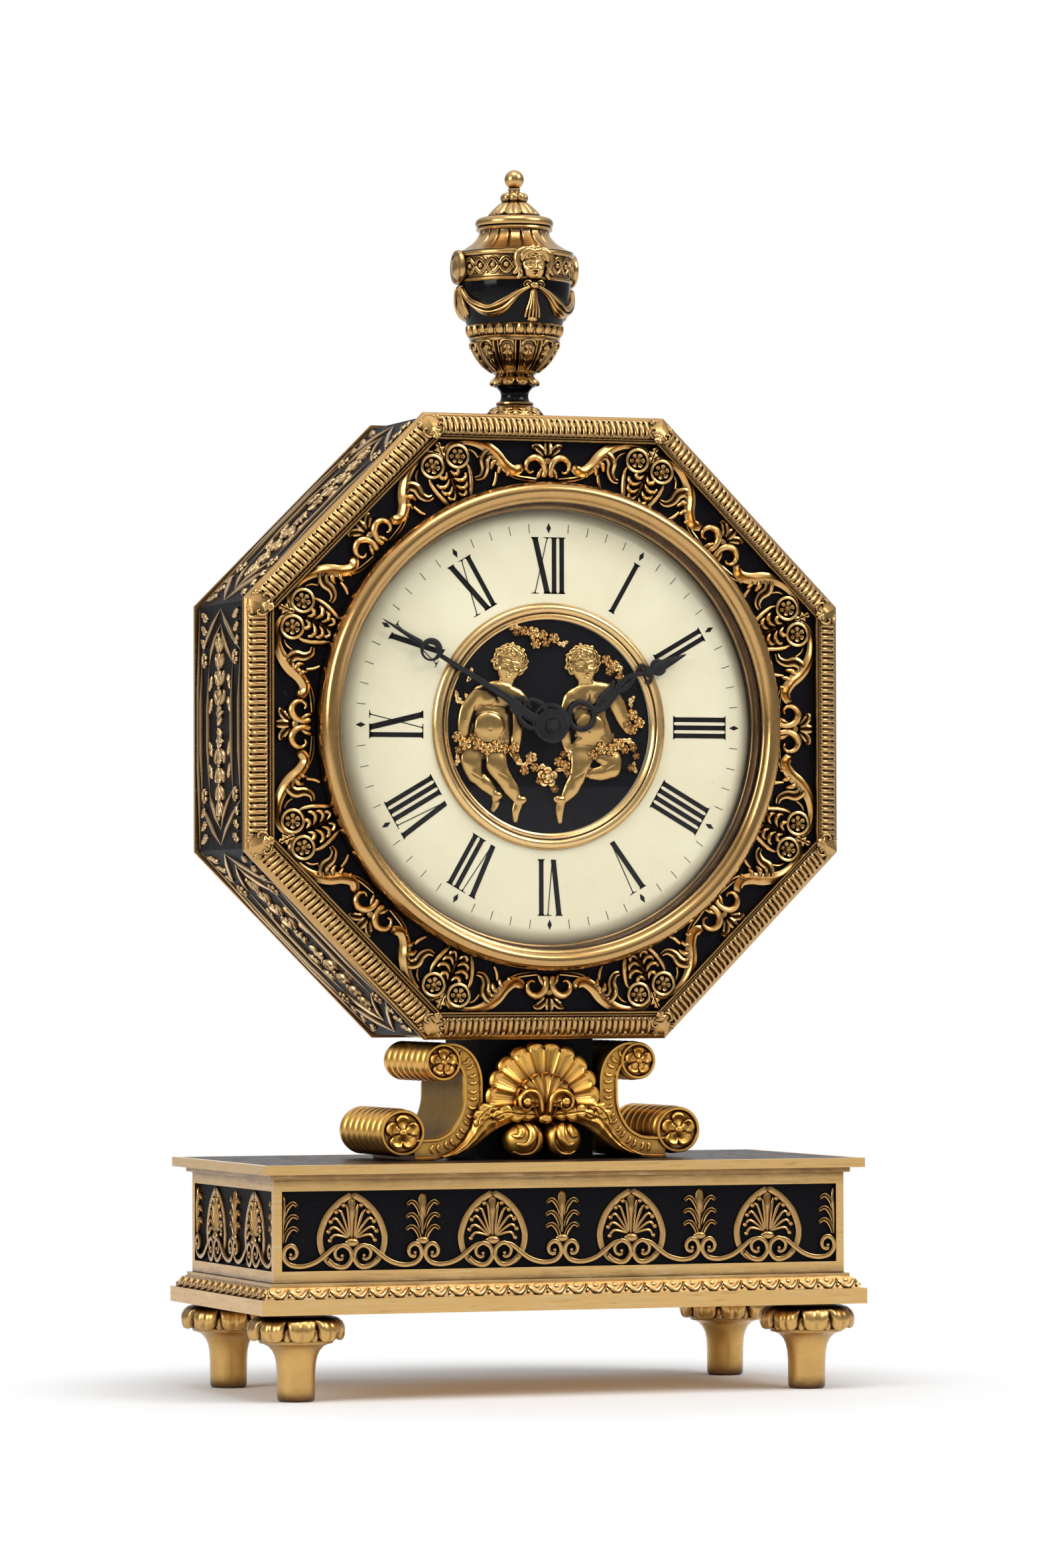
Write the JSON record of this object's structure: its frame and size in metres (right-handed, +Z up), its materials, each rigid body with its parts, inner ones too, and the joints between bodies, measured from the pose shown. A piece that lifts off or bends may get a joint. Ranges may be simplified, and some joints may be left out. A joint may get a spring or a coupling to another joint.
{
  "type": "table clock",
  "caption": "Octagonal gilt and black table clock with an urn finial, scroll support and panelled plinth on turned feet, with a wound movement behind a back door.",
  "frame": {"origin": "on the floor, under the middle of the four feet", "axes": "+X to the clock's right as the viewer sees it, +Y to the back (the dial faces -Y), +Z up"},
  "size_m": [0.2038, 0.103, 0.3943],
  "materials": {
    "gilt_plain": "gilt bronze, satin polish with brown wear in the corners",
    "gilt_cast": "cast and chased gilt bronze, bright on the crests, dark in the hollows",
    "gilt_matt": "matt mercury-gilt bronze of a deeper yellow",
    "black_ground": "ebonised core, smooth satin black",
    "dark_inlay": "dark brown-black worn cover",
    "black_metal": "black patinated, finely pitted ground",
    "black_gloss": "glossy black enamel",
    "glass": "clear domed glass",
    "enamel": "cream fired enamel, glossy",
    "brass": "lacquered brass, fine grained",
    "steel": "polished steel",
    "blued_steel": "blued spring steel",
    "black_steel": "black oxidised steel"
  },
  "bodies": {
    "clock": {"foot_front_left": "gilt_plain", "foot_front_right": "gilt_plain", "foot_back_left": "gilt_plain", "foot_back_right": "gilt_plain", "base_slab": "gilt_plain", "plinth_body": "gilt_plain", "plinth_core": "black_ground", "plinth_friezes": "gilt_cast", "plinth_top": "gilt_plain", "plinth_inlay": "dark_inlay", "scroll_leg_left": "gilt_matt", "scroll_leg_right": "gilt_matt", "support_block": "black_ground", "shell_front": "gilt_matt", "shell_back": "gilt_matt", "support_flowers": "gilt_matt", "case_shell": "black_metal", "front_frame": "gilt_cast", "back_frame": "gilt_plain", "front_panel": "black_metal", "front_scrollwork": "gilt_cast", "bezel": "gilt_plain", "dial_glass": "glass", "sight_ring": "gilt_plain", "side_straps": "gilt_plain", "side_husks": "gilt_cast", "back_panel": "black_metal", "hinge_pin": "steel", "dial_ring": "enamel", "dial_plate": "brass", "medallion_ground": "black_metal", "medallion_ring": "gilt_plain", "medallion_relief": "gilt_cast", "front_plate": "brass", "back_plate": "brass", "plate_pillars": "brass", "urn_foot": "gilt_plain", "urn_body": "black_gloss", "urn_band": "gilt_cast", "urn_lid": "gilt_plain"},
    "door": {"back_door": "gilt_plain"},
    "latch": {"door_knob": "brass"},
    "winding": {"winding_arbor": "steel", "ratchet_wheel": "steel"},
    "click_pawl": {"click": "steel"},
    "barrel": {"barrel": "brass", "mainspring": "blued_steel"},
    "centre": {"centre_wheel": "brass"},
    "third": {"third_wheel": "brass"},
    "fourth": {"fourth_wheel": "brass"},
    "escape": {"escape_wheel": "brass"},
    "lever": {"pallet_lever": "steel"},
    "balance": {"balance_wheel": "brass", "hairspring": "blued_steel"},
    "minute_shaft": {"centre_arbor": "steel", "minute_hand": "black_steel", "hand_nut": "steel"},
    "motion": {"minute_wheel": "brass"},
    "hour_shaft": {"hour_wheel": "brass", "hour_hand": "black_steel"}
  },
  "joints": [
    {"name": "door_swing", "type": "hinge", "parent": "clock", "child": "door", "pos_m": [0.0484, 0.0273, 0.2126], "axis": [0, 0, -1], "range_deg": [0, 110]},
    {"name": "latch_turn", "type": "hinge", "parent": "door", "child": "latch", "pos_m": [-0.0424, 0.026, 0.2126], "axis": [0, 1, 0], "range_deg": [0, 90]},
    {"name": "winding_turn", "type": "hinge", "parent": "clock", "child": "winding", "pos_m": [0, 0, 0.1901], "axis": [0, 1, 0], "continuous": true},
    {"name": "click_lift", "type": "hinge", "parent": "clock", "child": "click_pawl", "pos_m": [-0.0095, 0.011, 0.2006], "axis": [0, 1, 0], "range_deg": [0, 12]},
    {"name": "fourth_turn", "type": "hinge", "parent": "clock", "child": "fourth", "pos_m": [-0.00794, 0, 0.23485], "axis": [0, 1, 0], "continuous": true},
    {"name": "escape_turn", "type": "hinge", "parent": "clock", "child": "escape", "pos_m": [0.00506, 0, 0.23256], "axis": [0, 1, 0], "continuous": true},
    {"name": "third_turn", "type": "hinge", "parent": "clock", "child": "third", "pos_m": [-0.01559, 0, 0.2216], "axis": [0, 1, 0], "continuous": true},
    {"name": "centre_turn", "type": "hinge", "parent": "clock", "child": "centre", "pos_m": [0, 0, 0.2126], "axis": [0, 1, 0], "continuous": true},
    {"name": "barrel_turn", "type": "hinge", "parent": "clock", "child": "barrel", "pos_m": [0, 0, 0.1901], "axis": [0, 1, 0], "continuous": true},
    {"name": "lever_rock", "type": "hinge", "parent": "clock", "child": "lever", "pos_m": [0.0136, 0, 0.23256], "axis": [0, 1, 0], "range_deg": [-5, 5]},
    {"name": "balance_swing", "type": "hinge", "parent": "clock", "child": "balance", "pos_m": [0.0232, 0, 0.23256], "axis": [0, 1, 0], "range_deg": [-135, 135]},
    {"name": "minute_turn", "type": "hinge", "parent": "clock", "child": "minute_shaft", "pos_m": [0, 0, 0.2126], "axis": [0, 1, 0], "continuous": true},
    {"name": "motion_turn", "type": "hinge", "parent": "clock", "child": "motion", "pos_m": [0.00707, 0, 0.20553], "axis": [0, 1, 0], "continuous": true},
    {"name": "hour_turn", "type": "hinge", "parent": "clock", "child": "hour_shaft", "pos_m": [0, 0, 0.2126], "axis": [0, 1, 0], "continuous": true}
  ],
  "couplings": [
    {"joint": "escape_turn", "follows": "fourth_turn", "ratio": -10},
    {"joint": "third_turn", "follows": "fourth_turn", "ratio": -0.13333},
    {"joint": "centre_turn", "follows": "fourth_turn", "ratio": 0.016667},
    {"joint": "barrel_turn", "follows": "fourth_turn", "ratio": -0.0020833},
    {"joint": "motion_turn", "follows": "minute_turn", "ratio": -0.33333},
    {"joint": "hour_turn", "follows": "minute_turn", "ratio": 0.083333}
  ]
}
